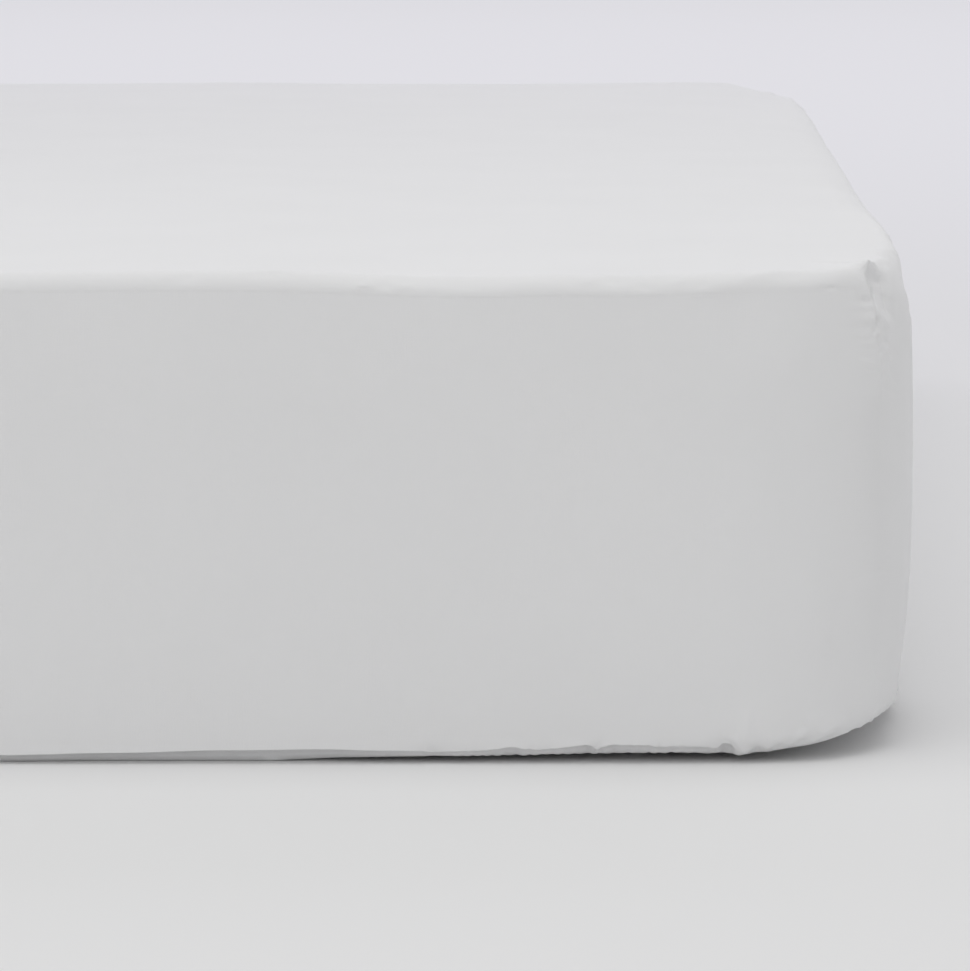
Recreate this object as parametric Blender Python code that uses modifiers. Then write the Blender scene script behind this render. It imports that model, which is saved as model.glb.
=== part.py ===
"""Fitted sheet stretched over a single mattress, its hem turned under on all four sides.

Metres, +Z up. +Y runs along the length and +X across. The origin is on the ground under the middle.

The sheet is one cloth: a crowned top, four walls that bulge a little, and a return under the
mattress. It is lofted through rings. Each ring is one row of the section, from the crown down to
the hem, and each of its points is a station on the plan outline, counted from a corner's centre.
"""

import math
from collections import namedtuple

import bmesh
import bpy
from mathutils import Vector

# Size of the made-up mattress, over the cloth
WIDTH = 0.90
LENGTH = 2.00
HEIGHT = 0.28
PLAN_RADIUS = 0.085

# Cloth, and the air between it and the mattress
CLOTH = 0.0018
CLEARANCE = 0.0022

# Upright section; a pair holds the value along a side and the value at a corner
CROWN_DROP = 0.004
BROW_RADIUS = (0.015, 0.018)
BROW_LEAN = 0.002
WALL_TOP = 0.19
WALL_FOOT = 0.16
FOOT_PULL = (0.005, 0.010)
FOOT_PULL_POWER = 2.8
FOOT_RADIUS = (0.011, 0.013)
CORNER_REACH = 0.14

# The long sides are drawn in further, beside each corner
FLANK_PULL = 0.008
FLANK_AT = 0.075

# How the hem's elastic lifts the lower edge: most on the long side, beside each corner, and a
# little on either side of a corner out to the edge lift's reach
CORNER_LIFT = 0.013
CORNER_LIFT_AT = 0.085
CORNER_LIFT_REACH = 0.175
EDGE_LIFT = 0.0055
EDGE_LIFT_REACH = 0.36
HEM_LOFT = 0.003
GATHER_REACH = 0.216

# Return under the mattress
RETURN_DEPTH = 0.085
HEM_RADIUS = 0.15
SEAT_INSET = 0.15

# Gathers along the lower edge, near the corners, and how far they calm down on the corner itself
GATHER_PITCH = 0.036
GATHER_DEPTH = 0.0028
CORNER_CALM = 0.8

PALE_COTTON = (0.86, 0.86, 0.87, 1.0)
PALE_TICKING = (0.80, 0.80, 0.79, 1.0)

ARC_HALF = PLAN_RADIUS * math.pi / 4
SHORT_STRAIGHT = WIDTH / 2 - PLAN_RADIUS
LONG_STRAIGHT = LENGTH / 2 - PLAN_RADIUS
SHORT_RUN = 2 * (ARC_HALF + SHORT_STRAIGHT)
LONG_RUN = 2 * (ARC_HALF + LONG_STRAIGHT)
PERIMETER = 2 * (SHORT_RUN + LONG_RUN)
SAME_PLACE = 1e-5

Corner = namedtuple("Corner", "sign_x sign_y place ear pleat_at pleat_depth")
Station = namedtuple("Station", "place corner on_end offset")
Row = namedtuple("Row", "kind value columns")
Dip = namedtuple("Dip", "side centre half_length drop")
Columns = namedtuple("Columns", "near far_step")

# Corners, counter-clockwise seen from above. The ear is the height of the seam's pointed top, and
# the pleat is a fold-over of the lower edge, at its distance from the corner's centre.
CORNERS = (
    Corner(1, -1, 0.0, 0.0085, 0.081, 0.0030),
    Corner(1, 1, LONG_RUN, 0.0015, 0.099, 0.0020),
    Corner(-1, 1, LONG_RUN + SHORT_RUN, 0.0080, 0.072, 0.0025),
    Corner(-1, -1, 2 * LONG_RUN + SHORT_RUN, 0.0065, 0.090, 0.0020),
)

# Distances of a ring's columns from a corner's centre, and the step along the rest of a side
COLUMNS = {
    "sparse": Columns((0.0, ARC_HALF, 0.20), 0.25),
    "plain": Columns((0.0, 0.007, 0.016, 0.030, 0.048, ARC_HALF, 0.095, 0.14, 0.20), 0.16),
    "gathered": Columns(tuple(0.009 * step for step in range(25)), 0.16),
    "body": Columns((0.0, 0.033, ARC_HALF, 0.10, 0.14, 0.19, 0.26), 0.20),
}

# Rows from the crown to the hem. The value is an inset on the crown, the tilt of the cloth's
# outward direction in degrees on the brow and foot, a height on the wall, and a distance from the
# fold on the return.
SHEET_ROWS = (
    Row("crown", 0.36, "sparse"),
    Row("crown", 0.24, "sparse"),
    Row("crown", 0.14, "plain"),
    Row("crown", 0.075, "plain"),
    Row("crown", 0.042, "plain"),
    Row("brow", 90, "plain"),
    Row("brow", 65, "plain"),
    Row("brow", 38, "plain"),
    Row("brow", 10, "plain"),
    Row("wall", 0.23, "plain"),
    Row("wall", 0.19, "plain"),
    Row("wall", 0.15, "plain"),
    Row("wall", 0.11, "plain"),
    Row("wall", 0.075, "plain"),
    Row("wall", 0.045, "gathered"),
    Row("foot", -15, "gathered"),
    Row("foot", -52, "gathered"),
    Row("foot", -90, "gathered"),
    Row("return", 0.030, "gathered"),
    Row("return", RETURN_DEPTH, "gathered"),
)
MATTRESS_ROWS = tuple(row._replace(columns="body") for row in SHEET_ROWS)

# Places where the top edge sinks between the corners, or stands proud where the drop is negative
EDGE_DIPS = (
    Dip("front", 0.21, 0.10, 0.0042),
    Dip("front", 0.31, 0.10, 0.0042),
    Dip("front", -0.18, 0.13, 0.0020),
    Dip("right", -0.62, 0.36, -0.0025),
    Dip("right", 0.35, 0.30, 0.0020),
    Dip("right", 0.98, 0.16, 0.0050),
    Dip("back", 0.43, 0.075, 0.0050),
    Dip("back", 0.12, 0.20, 0.0030),
    Dip("left", -0.30, 0.36, 0.0040),
    Dip("left", 0.55, 0.24, 0.0025),
)

# Share of an ear, a dip and a gather that each row takes
EAR_SHARE = {("brow", 90): 0.45, ("brow", 65): 1.0, ("brow", 38): 0.8, ("brow", 10): 0.1}
DIP_SHARE = {("crown", 0.042): 0.3, ("brow", 90): 0.7, ("brow", 65): 1.0, ("brow", 38): 0.8}
GATHER_SHARE = {("wall", 0.045): 0.2, ("foot", -15): 0.6, ("foot", -52): 1.0}
EAR_HALF_WIDTH = 0.017
EAR_LEAN = 0.9


def blend(pair, weight):
    """Between the value along a side and the value at a corner."""
    return pair[0] + (pair[1] - pair[0]) * weight


def hump(distance, reach):
    """1 at no distance, falling smoothly to 0 at the reach."""
    return 0.5 + 0.5 * math.cos(math.pi * min(1.0, abs(distance) / reach))


def station_offsets(columns, half_straight):
    """Distances of the columns from a corner's centre, as far as the middle of the side."""
    near = [offset for offset in columns.near if offset < ARC_HALF + half_straight]
    rest = ARC_HALF + half_straight - near[-1]
    steps = max(1, round(rest / columns.far_step))
    return near + [near[-1] + rest * step / steps for step in range(1, steps + 1)]


def stations(columns):
    """The columns of a ring, counter-clockwise, from the first corner's centre."""
    found = {}
    for number, corner in enumerate(CORNERS):
        for direction in (-1, 1):
            on_end = (direction < 0) == (number % 2 == 0)
            half_straight = SHORT_STRAIGHT if on_end else LONG_STRAIGHT
            for offset in station_offsets(columns, half_straight):
                place = (corner.place + direction * offset) % PERIMETER
                found[round(place / SAME_PLACE)] = Station(place, corner, on_end, offset)
    return [found[key] for key in sorted(found)]


def outline_point(station, inset, radius):
    """The plan position and outward direction on a rounded rectangle inset from the widest one."""
    corner = station.corner
    across = WIDTH / 2 - inset - radius
    along = LENGTH / 2 - inset - radius
    if station.offset <= ARC_HALF:
        turn = math.pi / 4 * station.offset / ARC_HALF
        angle = math.pi / 4 - turn if station.on_end else math.pi / 4 + turn
        outward = Vector((corner.sign_x * math.sin(angle), corner.sign_y * math.cos(angle), 0))
        centre = Vector((corner.sign_x * across, corner.sign_y * along, 0))
        return centre + outward * radius, outward
    past = station.offset - ARC_HALF
    if station.on_end:
        outward = Vector((0, corner.sign_y, 0))
        x = corner.sign_x * across * (1 - past / SHORT_STRAIGHT)
        return Vector((x, corner.sign_y * (along + radius), 0)), outward
    outward = Vector((corner.sign_x, 0, 0))
    y = corner.sign_y * along * (1 - past / LONG_STRAIGHT)
    return Vector((corner.sign_x * (across + radius), y, 0)), outward


def crown_height(inset):
    """The top is highest along the middle and falls a little towards its edges."""
    from_middle = (WIDTH / 2 - inset) / (WIDTH / 2)
    return HEIGHT - CROWN_DROP * from_middle**3


def wall_inset(height, station):
    """The wall leans in a little above its widest band, and is drawn in below it."""
    if height > WALL_TOP:
        return BROW_LEAN * ((height - WALL_TOP) / (HEIGHT - BROW_RADIUS[0] - WALL_TOP)) ** 2
    pull = blend(FOOT_PULL, hump(station.offset, CORNER_REACH))
    if not station.on_end:
        pull += FLANK_PULL * hump(station.offset - FLANK_AT, FLANK_AT)
    below = max(0.0, (WALL_FOOT - height) / WALL_FOOT)
    return pull * below**FOOT_PULL_POWER


def lower_edge_lift(station):
    """How far the fold of the lower edge stands off the ground."""
    along = -station.offset if station.on_end else station.offset
    beside_corner = CORNER_LIFT * hump(along - CORNER_LIFT_AT, CORNER_LIFT_REACH)
    return beside_corner + EDGE_LIFT * max(0.0, 1 - station.offset / EDGE_LIFT_REACH)


def section(row, station):
    """Inset, height, outward tilt and plan radius of a row at a station."""
    weight = hump(station.offset, CORNER_REACH)
    if row.kind == "crown":
        narrow = 0.6 * (WIDTH / 2 - row.value)
        radius = min(narrow, max(PLAN_RADIUS - row.value, 0.35 * row.value))
        return row.value, crown_height(row.value), 90, radius
    if row.kind == "wall":
        inset = wall_inset(row.value, station)
        return inset, row.value, 0, PLAN_RADIUS - inset
    if row.kind == "brow":
        round_radius = blend(BROW_RADIUS, weight)
        centre_inset = BROW_LEAN + round_radius
        centre_height = crown_height(centre_inset) - round_radius
        tilt = row.value
    else:
        round_radius = blend(FOOT_RADIUS, weight)
        centre_height = lower_edge_lift(station) + round_radius
        centre_inset = wall_inset(centre_height, station) + round_radius
        tilt = row.value if row.kind == "foot" else -90
    inset = centre_inset - round_radius * math.cos(math.radians(tilt))
    height = centre_height + round_radius * math.sin(math.radians(tilt))
    radius = PLAN_RADIUS - inset
    if row.kind == "return":
        share = row.value / RETURN_DEPTH
        inset += row.value
        height = height * (1 - share) + HEM_LOFT * share * hump(station.offset, GATHER_REACH)
        radius = blend((radius, HEM_RADIUS), share)
    return inset, height, tilt, radius


def side_of(station):
    """The name of the side that a station is on, and the axis that runs along it."""
    if station.on_end:
        return ("front" if station.corner.sign_y < 0 else "back"), 0
    return ("right" if station.corner.sign_x > 0 else "left"), 1


def edge_dip(row, station, point):
    """How far the top edge sinks at a point."""
    side, axis = side_of(station)
    sink = 0.0
    for dip in EDGE_DIPS:
        if dip.side == side:
            sink += dip.drop * hump(point[axis] - dip.centre, dip.half_length)
    return sink * DIP_SHARE.get((row.kind, row.value), 0.0)


def gather(station):
    """0 in the hollows of the gathered edge and up to 1 on its ridges, uneven along the edge."""
    offset = station.offset
    phase = 1.7 * CORNERS.index(station.corner) + (0.9 if station.on_end else 0.0)
    wave = 0.5 + 0.5 * math.cos(2 * math.pi * offset / GATHER_PITCH + phase)
    uneven = 0.7 + 0.3 * math.sin(offset * 61 + 2 * phase)
    calm = 1 - CORNER_CALM * hump(offset, ARC_HALF)
    return wave * uneven * calm * hump(offset, GATHER_REACH)


def pleat(station):
    """The fold-over of the lower edge on the end's side of a corner."""
    if not station.on_end:
        return 0.0
    return station.corner.pleat_depth * hump(station.offset - station.corner.pleat_at, 0.010)


def body_point(row, station, sunk=0.0):
    """A point of the smooth made-up shape, sunk below it along its outward direction."""
    inset, height, tilt, radius = section(row, station)
    plan, outward = outline_point(station, inset, radius)
    angle = math.radians(tilt)
    direction = outward * math.cos(angle) + Vector((0, 0, math.sin(angle)))
    point = Vector((plan.x, plan.y, height)) - direction * sunk
    point.z -= edge_dip(row, station, point)
    return point, outward, direction


def sheet_point(row, station):
    """A point of the cloth's outer face, with its ears, gathers and pleats."""
    point, outward, direction = body_point(row, station)
    ear = station.corner.ear * EAR_SHARE.get((row.kind, row.value), 0.0)
    ear *= max(0.0, 1 - station.offset / EAR_HALF_WIDTH) ** 1.3
    point += (Vector((0, 0, 1)) + outward * EAR_LEAN) * ear
    ruffle = GATHER_DEPTH * gather(station)
    if row.kind == "return" or row.value == -90:
        point.z -= 0.85 * min(point.z, ruffle)
        return point
    share = GATHER_SHARE.get((row.kind, row.value), 0.0)
    return point + direction * share * (ruffle + pleat(station))


def stitch(mesh, upper, lower):
    """Joins two rings with quads where their columns agree and with triangles elsewhere."""
    upper = upper + [(PERIMETER, upper[0][1])]
    lower = lower + [(PERIMETER, lower[0][1])]
    i = 0
    j = 0
    while i < len(upper) - 1 or j < len(lower) - 1:
        gap = upper[min(i + 1, len(upper) - 1)][0] - lower[min(j + 1, len(lower) - 1)][0]
        upper_ends = i == len(upper) - 1
        lower_ends = j == len(lower) - 1
        corners = [upper[i][1], lower[j][1]]
        if not lower_ends and (upper_ends or gap > -SAME_PLACE):
            j += 1
            corners.append(lower[j][1])
        if not upper_ends and (lower_ends or gap < SAME_PLACE):
            i += 1
            corners.append(upper[i][1])
        mesh.faces.new(corners)


def loft(mesh, rows, point_of):
    """Lofts rings through the rows and closes the crown. Returns the last ring."""
    ring = None
    for row in rows:
        above = ring
        ring = []
        for station in stations(COLUMNS[row.columns]):
            ring.append((station.place, mesh.verts.new(point_of(row, station))))
        if above is None:
            mesh.faces.new([vertex for _, vertex in ring])
        else:
            stitch(mesh, above, ring)
    return ring


def make_object(name, mesh, collection, colour, roughness):
    """Turns the lofted mesh into a smooth-shaded object with its own material."""
    data = bpy.data.meshes.new(name)
    mesh.to_mesh(data)
    mesh.free()
    data.shade_smooth()
    material = bpy.data.materials.new(name + "_cloth")
    material.use_nodes = True
    shader = material.node_tree.nodes["Principled BSDF"]
    shader.inputs["Base Color"].default_value = colour
    shader.inputs["Roughness"].default_value = roughness
    shader.inputs["Metallic"].default_value = 0.0
    data.materials.append(material)
    made = bpy.data.objects.new(name, data)
    collection.objects.link(made)
    return made


def make_sheet(collection):
    """The cloth: its outer face is lofted, and Solidify gives it its thickness inwards."""
    mesh = bmesh.new()
    loft(mesh, SHEET_ROWS, sheet_point)
    sheet = make_object("fitted_sheet", mesh, collection, PALE_COTTON, 0.9)
    shell = sheet.modifiers.new("thickness", "SOLIDIFY")
    shell.thickness = CLOTH
    shell.offset = -1.0


def make_mattress(collection):
    """The form inside, which follows the cloth and stands on a flat seat inside the hem."""
    mesh = bmesh.new()

    def point_of(row, station):
        return body_point(row, station, sunk=CLOTH + CLEARANCE)[0]

    hem = loft(mesh, MATTRESS_ROWS, point_of)
    seat = []
    for station in stations(COLUMNS["body"]):
        point, _ = outline_point(station, SEAT_INSET, HEM_RADIUS)
        seat.append((station.place, mesh.verts.new(point)))
    stitch(mesh, hem, seat)
    mesh.faces.new([vertex for _, vertex in reversed(seat)])
    make_object("mattress", mesh, collection, PALE_TICKING, 0.95)


def main():
    for item in list(bpy.data.objects):
        bpy.data.objects.remove(item)
    collection = bpy.data.collections.new("fitted_sheet_on_mattress")
    bpy.context.scene.collection.children.link(collection)
    make_sheet(collection)
    make_mattress(collection)


main()
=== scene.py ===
"""Looks of a white cotton fitted sheet stretched over a single mattress.

Metres, +Z up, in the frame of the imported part: +Y along the length, +X across, ground at z = 0.

The cloth is first laid out flat, as a grid of two coordinates: its place round the plan outline
and its height unrolled down the section. The grid is refined where the cloth has small folds, and
then every point is moved to where it lies on the made-up mattress.
"""

import math
from collections import namedtuple

import bmesh
import bpy
from mathutils import Matrix, Vector, noise


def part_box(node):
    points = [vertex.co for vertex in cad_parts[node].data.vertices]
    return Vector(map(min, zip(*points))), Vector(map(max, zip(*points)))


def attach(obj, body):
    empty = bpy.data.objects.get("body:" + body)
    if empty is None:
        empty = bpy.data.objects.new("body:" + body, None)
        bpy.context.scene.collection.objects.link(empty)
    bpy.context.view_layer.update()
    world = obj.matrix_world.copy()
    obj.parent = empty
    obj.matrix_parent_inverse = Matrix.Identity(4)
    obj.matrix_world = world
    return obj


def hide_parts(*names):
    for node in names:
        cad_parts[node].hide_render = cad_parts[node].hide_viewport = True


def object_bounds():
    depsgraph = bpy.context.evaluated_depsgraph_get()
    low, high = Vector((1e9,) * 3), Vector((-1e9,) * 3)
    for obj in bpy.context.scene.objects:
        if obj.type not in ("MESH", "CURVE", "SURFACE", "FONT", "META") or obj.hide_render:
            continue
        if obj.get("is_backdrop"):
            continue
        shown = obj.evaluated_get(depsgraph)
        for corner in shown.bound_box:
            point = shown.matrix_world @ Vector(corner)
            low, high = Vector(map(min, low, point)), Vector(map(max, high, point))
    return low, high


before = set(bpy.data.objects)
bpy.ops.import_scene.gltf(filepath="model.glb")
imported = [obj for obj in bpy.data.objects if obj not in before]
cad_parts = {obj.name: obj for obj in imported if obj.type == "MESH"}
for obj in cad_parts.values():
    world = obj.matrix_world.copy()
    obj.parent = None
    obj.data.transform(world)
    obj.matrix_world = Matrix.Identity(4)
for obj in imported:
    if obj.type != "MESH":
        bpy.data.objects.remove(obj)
CAD_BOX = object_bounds()


def table(kind, *rows):
    """A row of this kind for each tuple of values."""
    return tuple(kind(*row) for row in rows)


# ------------ sizes of the made-up mattress

SHEET_LOW, SHEET_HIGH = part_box("fitted_sheet")
WIDTH = SHEET_HIGH[0] - SHEET_LOW[0]
LENGTH = SHEET_HIGH[1] - SHEET_LOW[1]
HEIGHT = 0.28
PLAN_RADIUS = 0.085

# The brow, where the top rolls over into the wall, is an oval. A pair is its half size along an end
# and along a long side, which rolls over more softly, and it changes between the two places of
# BROW_TURN. On a corner's flank the oval gains the width and the depth of BROW_SWELL.
CROWN_DROP = 0.004
BROW_WIDE = (0.0105, 0.045)
BROW_DEEP = (0.0105, 0.014)
BROW_TURN = (0.24, 0.62)
BROW_SWELL = (0.0130, 0.0225)
BROW_SWELL_AT = 0.072
BROW_SWELL_REACH = 0.102

# A ring of the top panel grows rounder inwards by one share and stays narrower than the other
RING_ROUNDING = 0.35
RING_ROUND_MOST = 0.6

# The wall leans in above its widest band and is drawn in below it. A pair is the value along a side
# and the value at a corner.
BROW_FOOT = 0.017
BROW_LEAN = 0.002
WALL_TOP = 0.19
WALL_FOOT = 0.16
FOOT_PULL = (0.005, 0.010)
FOOT_PULL_POWER = 2.8
FOOT_RADIUS = (0.011, 0.013)
CORNER_REACH = 0.14
FLANK_PULL = 0.008
FLANK_AT = 0.075

# Lift of the lower edge
CORNER_LIFT = 0.013
CORNER_LIFT_AT = 0.085
CORNER_LIFT_REACH = 0.165
EDGE_LIFT = 0.0068
EDGE_LIFT_REACH = 0.36
HITCH_LIFT = 0.0022
HITCH_AT = 0.030
HITCH_REACH = 0.050
HEM_LOFT = 0.003

# Return under the mattress, and the flat seat inside it
RETURN_DEPTH = 0.085
HEM_RADIUS = 0.15
SEAT_INSET = 0.15

# The lower edge is tucked under along a fold. Near a corner the tuck opens and closes between the
# gathers; each row is its distance from the seam, the fold's height and how far it is tucked.
Tuck = namedtuple("Tuck", "distance height strength")
TUCKS = table(
    Tuck,
    (0.083, 0.0105, 0.0), (0.0865, 0.0126, 0.75), (0.09, 0.0131, 0.85), (0.0948, 0.0104, 0.25),
    (0.101, 0.0111, 0.85), (0.115, 0.011, 0.75), (0.1261, 0.011, 0.6), (0.133, 0.0114, 1.0),
    (0.154, 0.0115, 1.0), (0.158, 0.0106, 0.7), (0.1608, 0.0092, 0.1), (0.1642, 0.0112, 0.9),
    (0.1676, 0.0115, 1.0), (0.1765, 0.0103, 1.0), (0.1855, 0.0093, 0.85), (0.193, 0.0088, 0.55),
    (0.2, 0.0092, 0.8), (0.21, 0.0103, 1.0), (0.2157, 0.0092, 0.9), (0.2269, 0.0081, 0.75),
    (0.2409, 0.0075, 0.8), (0.2549, 0.0068, 0.3), (0.259, 0.0077, 0.85), (0.29, 0.0079, 1.0),
    (0.3108, 0.0086, 1.0), (0.37, 0.008, 1.0), (0.4318, 0.0065, 1.0), (0.4581, 0.0051, 1.0),
    (0.5218, 0.0065, 1.0),
)
TUCK_DEPTH_SHARE = 1.7
TUCK_SHIFTS = ((0.0, 0.019), (0.011, 0.031), (0.026, 0.006), (0.090, 0.023))
TUCK_LIFT = 0.0015
TUCK_LIFT_STARTS = (0.085, 0.11)
TUCK_LIFT_ENDS = (0.28, EDGE_LIFT_REACH)

# In shares of the foot's quarter turn, the start and the run of three stretches of tucked cloth:
# inwards, down, and along the bottom. The first two share the fold's depth and its height.
FOLD_INWARDS = (0.5, 0.15)
FOLD_DOWN = (0.65, 0.15)
FOLD_BOTTOM = (0.8, 0.2)
FOLD_DEPTH_SHARES = (0.93, 0.07)
FOLD_HEIGHT_SHARES = (0.1, 0.9)
LEAST_FOLD = 0.0015

ARC_HALF = PLAN_RADIUS * math.pi / 4
SHORT_STRAIGHT = WIDTH / 2 - PLAN_RADIUS
LONG_STRAIGHT = LENGTH / 2 - PLAN_RADIUS
SHORT_RUN = 2 * (ARC_HALF + SHORT_STRAIGHT)
LONG_RUN = 2 * (ARC_HALF + LONG_STRAIGHT)
PERIMETER = 2 * (SHORT_RUN + LONG_RUN)
RIGHT_ANGLE = math.pi / 2
SEAM_INSET = PLAN_RADIUS * (1 - math.sqrt(0.5))

# ------------ folds and sewing

# Cloth: its mesh is this thin at the hem, and its hidden inner face lies deeper behind the folds
HEM_THICKNESS = 0.0010
INNER_DEPTH = 0.0036
INNER_DEEPENS = 0.02
MATTRESS_DEPTH = 0.0048
FLOOR_GAP = 0.0003

# Smooth noise: how fast it varies, its step from one corner to the next, and its layer
Field = namedtuple("Field", "rate corner_step layer")

# Gathers of the solid's lower edge, and the finer scallops between them
GATHER_PITCH = 0.036
GATHER_DEPTH = 0.0028
GATHER_REACH = 0.216
GATHER_PHASES = (1.7, 0.9)
GATHER_SIZE = (0.7, 0.3)
GATHER_UNEVEN_RATE = 61
CORNER_CALM = 0.8
PLEAT_HALF = 0.010
SCALLOP_PITCH = 0.0066
SCALLOP_DEPTH = 0.0011
SCALLOP_FROM = 0.070
SCALLOP_TO = 0.262
SCALLOP_STARTS = (SCALLOP_FROM, SCALLOP_FROM + 0.02)
SCALLOP_ENDS = (SCALLOP_TO - 0.06, SCALLOP_TO)
SCALLOP_SIZE = (0.65, 0.7)
LEAST_SCALLOP = 0.15
SCALLOP_WANDER = Field(37, 3.1, 0.5)
SCALLOP_WANDER_BY = 0.0035
SCALLOP_UNEVEN = Field(70, 5.3, 2.5)

# Where this relief fades: below and above the foot's top, round the fold, and under the mattress
FOOT_FADES = (0.004, 0.024)
FOLD_RUN = 0.018
SCALLOP_END_GAP = 0.003
UNDER_SHARE = 0.45
UNDER_FADE = 0.03
UNDER_GATHER_SHARE = 0.85

# Pulled cloth under the mattress: ripples which run from the fold to the hem
RIPPLE_PITCH = 0.0125
RIPPLE_DEPTH = 0.0016
RIPPLE_SHARES = (0.25, 1.0)
RIPPLE_ENDS = (SCALLOP_TO - 0.04, SCALLOP_TO + 0.05)
RIPPLE_WANDER = Field(21, 2.3, 0.0)
RIPPLE_WANDER_BY = 0.006
RIPPLE_TWIST = 9
HEM_WIDTH = 0.012
HEM_EDGE = 0.001
HEM_STEP = 0.0006

# Corner seam: a soft ridge with a groove, deeper by the ear, the allowance felt behind it, and the
# puckers along it
SEAM_RIDGE = 0.0036
SEAM_RIDGE_REACH = 0.036
SEAM_RIDGE_STARTS = (0.05, 0.16)
SEAM_RIDGE_ENDS = (0.252, 0.272)
SEAM_RELIEF_REACH = 0.03
SEAM_RELIEF_STARTS = (0.022, 0.075)
SEAM_RELIEF_ENDS = (0.260, 0.266)
BY_THE_EAR = (0.230, 0.250)
SEAM_GROOVE = (0.00030, 0.0009)
SEAM_GROOVE_HALF = 0.0009
ALLOWANCE_WIDTH = 0.0105
ALLOWANCE_STARTS = (-0.0002, 0.0012)
ALLOWANCE_ENDS = (ALLOWANCE_WIDTH - 0.001, ALLOWANCE_WIDTH + 0.0012)
ALLOWANCE_RISE = 0.00045
PUCKER_DEPTH = (0.00016, 0.00050)
PUCKER_REACH = 0.0040
PUCKER_PITCH = 0.0068
PUCKER_SIZE = (0.45, 1.1)
LEAST_PUCKER = 0.1
PUCKER_WANDER = Field(60, 7.7, 0.0)
PUCKER_WANDER_BY = 4
PUCKER_LOOSE = Field(26, 3.7, 1.0)
OTHER_SIDE_LAYER = 4.1

# The ear is the pointed top end of the seam: steep on one side, and drawn out and fuller on the
# other, with a small tip on its apex. The hollow lies under its lip; its profile is for a brow with
# the run EAR_BROW_RUN, and stretches with the brow.
EAR_LEAN = 0.86
EAR_HEIGHT_SHARE = 0.54
EAR_AT = -0.0056
EAR_STEEP_SIDE = 0.0044
EAR_LONG_SIDE = 0.0200
EAR_FULLNESS = 0.3
EAR_POINT = 0.26
EAR_POINT_HALF = 0.0040
EAR_BROW_RUN = 0.0203
HOLLOW_DEPTH = 0.0036
HOLLOW_SIDES = (-0.0012, 0.0012, 0.0150, 0.0310)

# Slow unevenness of the cloth: how fast each wave varies and its rise, and where they fade
SOFT_WAVES = ((7.0, 0.0008), (17.0, 0.0003))
SOFT_WAVES_START = (0.02, 0.08)
SOFT_WAVES_END = (0.50, 0.60)

# Corners, counter-clockwise seen from above: ear height, pleat of the lower edge and its distance
# from the corner, and how far the seam wanders from the corner at its top and at its bottom
Corner = namedtuple("Corner", "sign_x sign_y place ear pleat_at pleat_depth seam_top seam_foot")
CORNERS = table(
    Corner,
    (1, -1, 0.0, 0.0085, 0.081, 0.003, 0.003, 0.011),
    (1, 1, LONG_RUN, 0.0015, 0.099, 0.002, -0.001, 0.004),
    (-1, 1, LONG_RUN + SHORT_RUN, 0.008, 0.072, 0.0025, 0.002, -0.005),
    (-1, -1, 2 * LONG_RUN + SHORT_RUN, 0.0065, 0.09, 0.002, -0.0015, 0.006),
)
SEAM_WARP_REACH = 0.045
SEAM_WARP_POWER = 1.5

# Places where the top edge sinks between the corners, or stands proud where the drop is negative
Dip = namedtuple("Dip", "side centre half_length drop")
EDGE_DIPS = table(
    Dip,
    ("front", 0.2, 0.11, 0.0036),
    ("front", 0.295, 0.065, 0.0028),
    ("front", -0.18, 0.13, 0.002),
    ("front", 0.02, 0.15, -0.0014),
    ("front", 0.43, 0.05, -0.0028),
    ("right", -0.95, 0.15, -0.0032),
    ("right", -0.6, 0.3, -0.0024),
    ("right", 0.98, 0.54, 0.0115),
    ("back", 0.43, 0.11, 0.0125),
    ("back", 0.3, 0.1, 0.002),
    ("back", 0.12, 0.2, 0.003),
    ("left", -0.3, 0.36, 0.004),
    ("left", 0.55, 0.24, 0.0025),
)

# Reach in which the two sides of a corner meet, and the profile's stretch on an end and a long side
DIP_MEETING = 0.05
DIP_STRETCH = (1.0, 1.9)

# Shares of a dip and of an ear, by the unrolled height above the top of the brow
Share = namedtuple("Share", "above share")
DIP_PROFILE = table(Share, (-0.026, 0), (-0.016, 0.8), (-0.008, 1), (0, 0.7), (0.05, 0))
EAR_PROFILE = table(
    Share,
    (-0.024, 0.0), (-0.018, 0.07), (-0.014, 0.26), (-0.0112, 0.66), (-0.0095, 1.0),
    (-0.0075, 0.8), (-0.005, 0.45), (-0.001, 0.18), (0.006, 0.05), (0.014, 0.0),
)
HOLLOW_PROFILE = table(
    Share,
    (-0.036, 0.0), (-0.029, 0.1), (-0.023, 0.38), (-0.0185, 0.78), (-0.0145, 1.0), (-0.0098, 0.0),
)

# How far the hollow's steep side leans along the wall from under the ear's point down to the seam
HOLLOW_SHIFT = table(
    Share,
    (-0.028, 0.0056), (-0.015, -0.0004), (-0.009, 0.0),
)

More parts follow.
